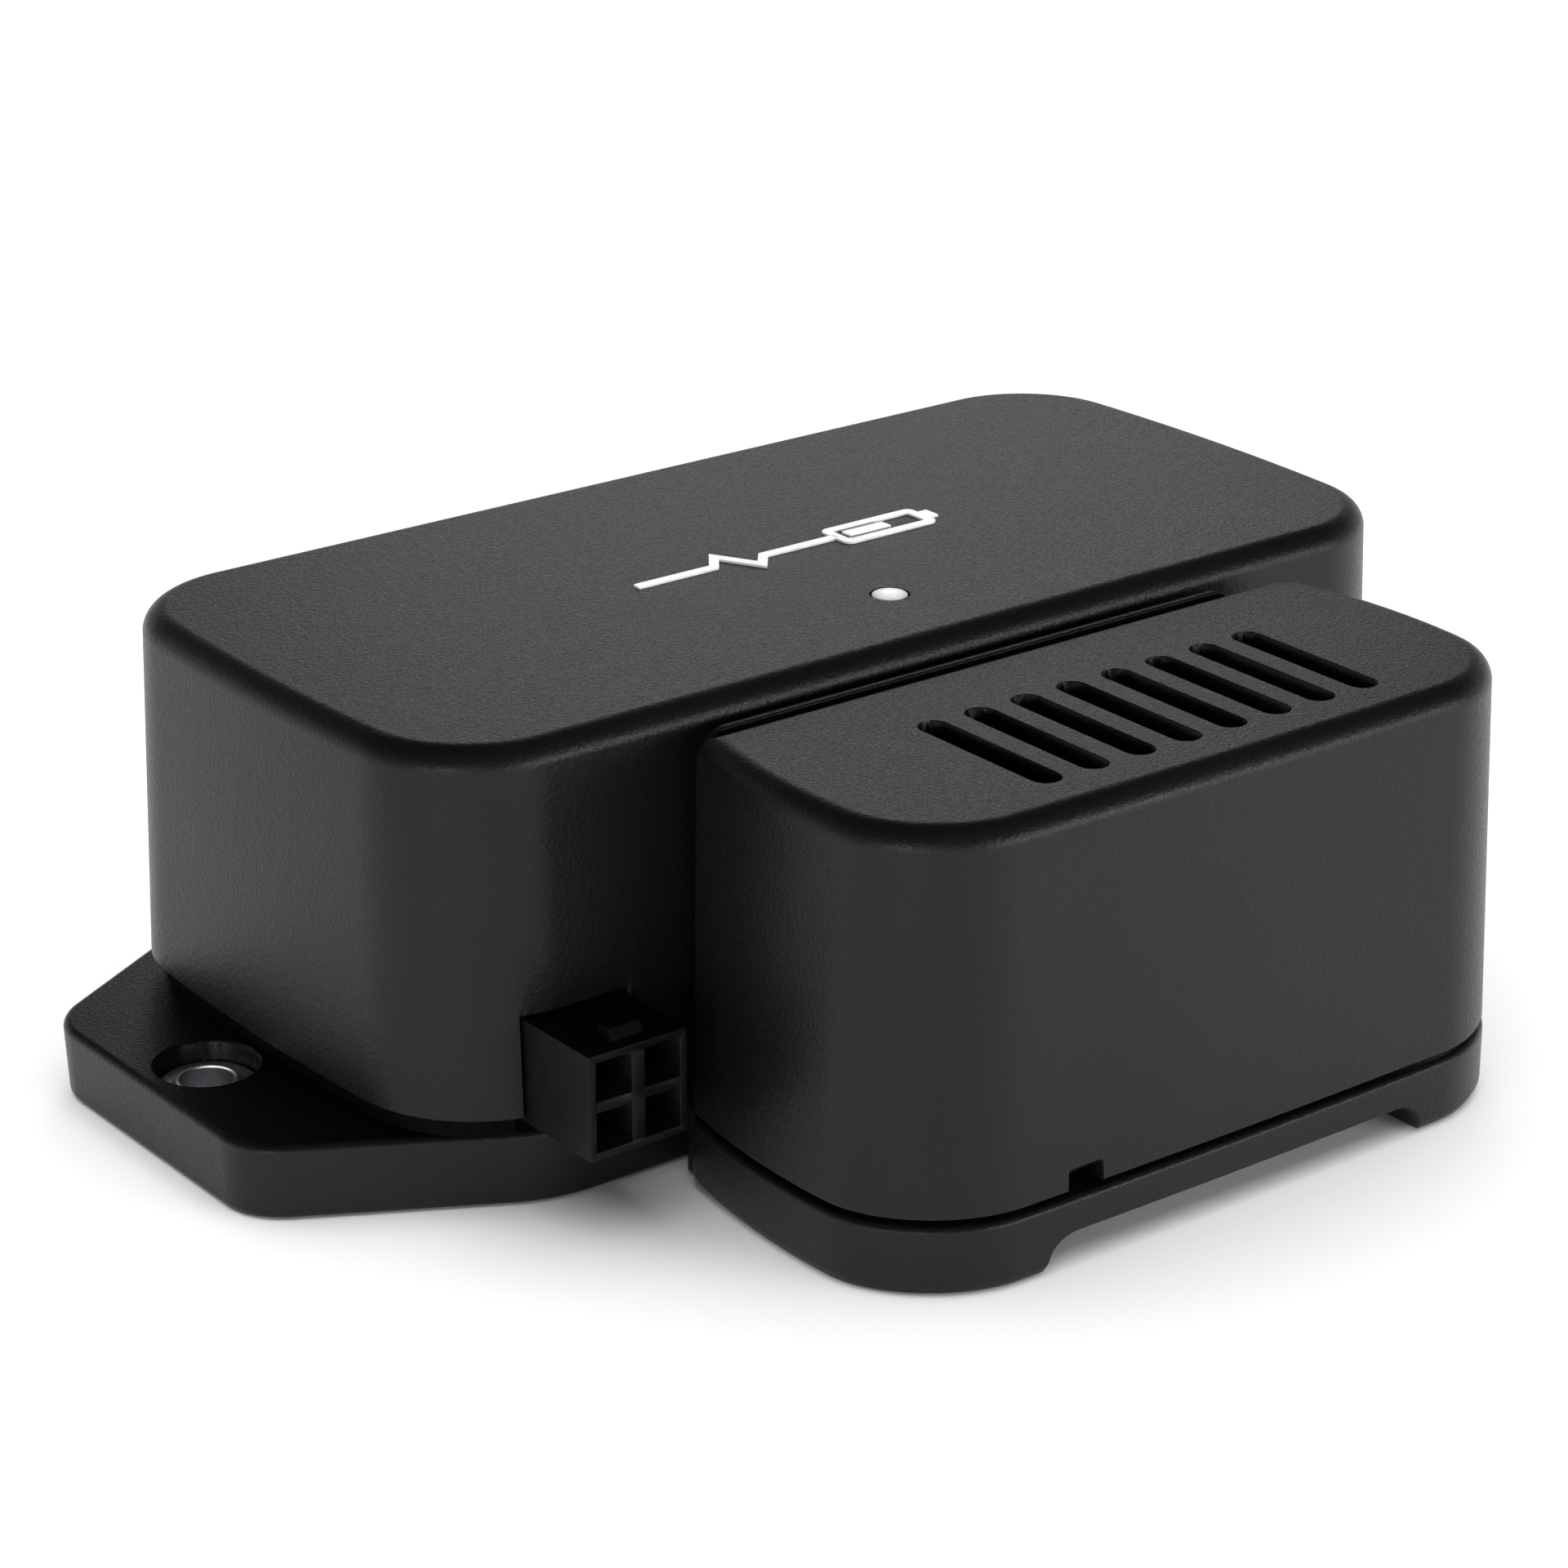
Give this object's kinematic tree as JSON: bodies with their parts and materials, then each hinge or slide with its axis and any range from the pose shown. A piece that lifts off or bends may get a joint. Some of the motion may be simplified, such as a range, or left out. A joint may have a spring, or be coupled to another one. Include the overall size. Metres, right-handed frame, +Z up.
{
  "type": "battery monitor shunt",
  "caption": "Low rounded battery monitor housing on an eared base, with a slotted clip-on cover over the shunt terminals, a four-way header and a status light.",
  "frame": {"origin": "on the base plate's underside, midway between the ear screws and below the centre of the upper housing", "axes": "+X along the housing towards the cable mouths, -Y towards the terminal cover, +Z up from the mounting surface"},
  "size_m": [0.1318, 0.0895, 0.0419],
  "materials": {
    "casing": "fine spark-eroded black moulding",
    "header": "smooth satin black moulding",
    "gasket": "matt black rubber",
    "light": "clear diffusing light pipe, lit white",
    "mark": "light grey print",
    "steel": "zinc-plated steel",
    "brass": "machined brass",
    "alloy": "copper-manganese resistance sheet",
    "board": "green solder mask",
    "chip": "moulded black package",
    "can": "tinned shield and lug metal",
    "wire": "red wire insulation"
  },
  "bodies": {
    "root": {"bar_screw_front": "steel", "bar_screw_rear": "steel", "base": "casing", "board_screw_1": "steel", "board_screw_2": "steel", "board_screw_3": "steel", "board_screw_4": "steel", "bus_transceiver": "chip", "circuit_board": "board", "crystal": "can", "ear_bushing_left": "steel", "ear_bushing_right": "steel", "filter_capacitor": "can", "header_pin_1": "brass", "header_pin_2": "brass", "header_pin_3": "brass", "header_pin_4": "brass", "housing_gasket": "gasket", "housing_screw_1": "steel", "housing_screw_2": "steel", "housing_screw_3": "steel", "housing_screw_4": "steel", "input_fuse": "chip", "insulating_divider": "header", "light_pipe": "light", "light_source": "light", "microcontroller": "chip", "pictogram": "mark", "power_header": "header", "power_inductor": "chip", "sense_amplifier": "chip", "sense_duct": "casing", "sense_lead_front": "wire", "sense_lead_rear": "wire", "sense_lug_front": "can", "sense_lug_rear": "can", "sense_screw_front": "steel", "sense_screw_rear": "steel", "shunt_bar_front": "brass", "shunt_bar_rear": "brass", "shunt_blade_1": "alloy", "shunt_blade_2": "alloy", "shunt_blade_3": "alloy", "shunt_blade_4": "alloy", "shunt_blade_5": "alloy", "shunt_blade_6": "alloy", "stud_front": "steel", "stud_rear": "steel", "upper_housing": "casing", "washer_front": "steel", "washer_rear": "steel", "wireless_module": "can"},
    "cover": {"terminal_cover": "casing"},
    "front_clamp": {"spring_washer_front": "steel"},
    "front_nut": {"nut_front": "steel"},
    "rear_clamp": {"spring_washer_rear": "steel"},
    "rear_nut": {"nut_rear": "steel"}
  },
  "joints": [
    {"name": "cover_lift", "type": "slide", "parent": "root", "child": "cover", "axis": [0, 0, 1], "range_m": [0, 0.045]},
    {"name": "front_nut_rise", "type": "slide", "parent": "root", "child": "front_clamp", "axis": [0, 0, 1], "range_m": [0, 0.004]},
    {"name": "front_nut_turn", "type": "hinge", "parent": "front_clamp", "child": "front_nut", "pos_m": [0.024, -0.0516, 0.0195], "axis": [0, 0, 1], "range_deg": [0, 1440]},
    {"name": "rear_nut_rise", "type": "slide", "parent": "root", "child": "rear_clamp", "axis": [0, 0, 1], "range_m": [0, 0.004]},
    {"name": "rear_nut_turn", "type": "hinge", "parent": "rear_clamp", "child": "rear_nut", "pos_m": [0.024, -0.0384, 0.0195], "axis": [0, 0, 1], "range_deg": [0, 1440]}
  ],
  "couplings": [
    {"joint": "front_nut_turn", "follows": "front_nut_rise", "rad_per_m": 6283},
    {"joint": "rear_nut_turn", "follows": "rear_nut_rise", "rad_per_m": 6283}
  ]
}
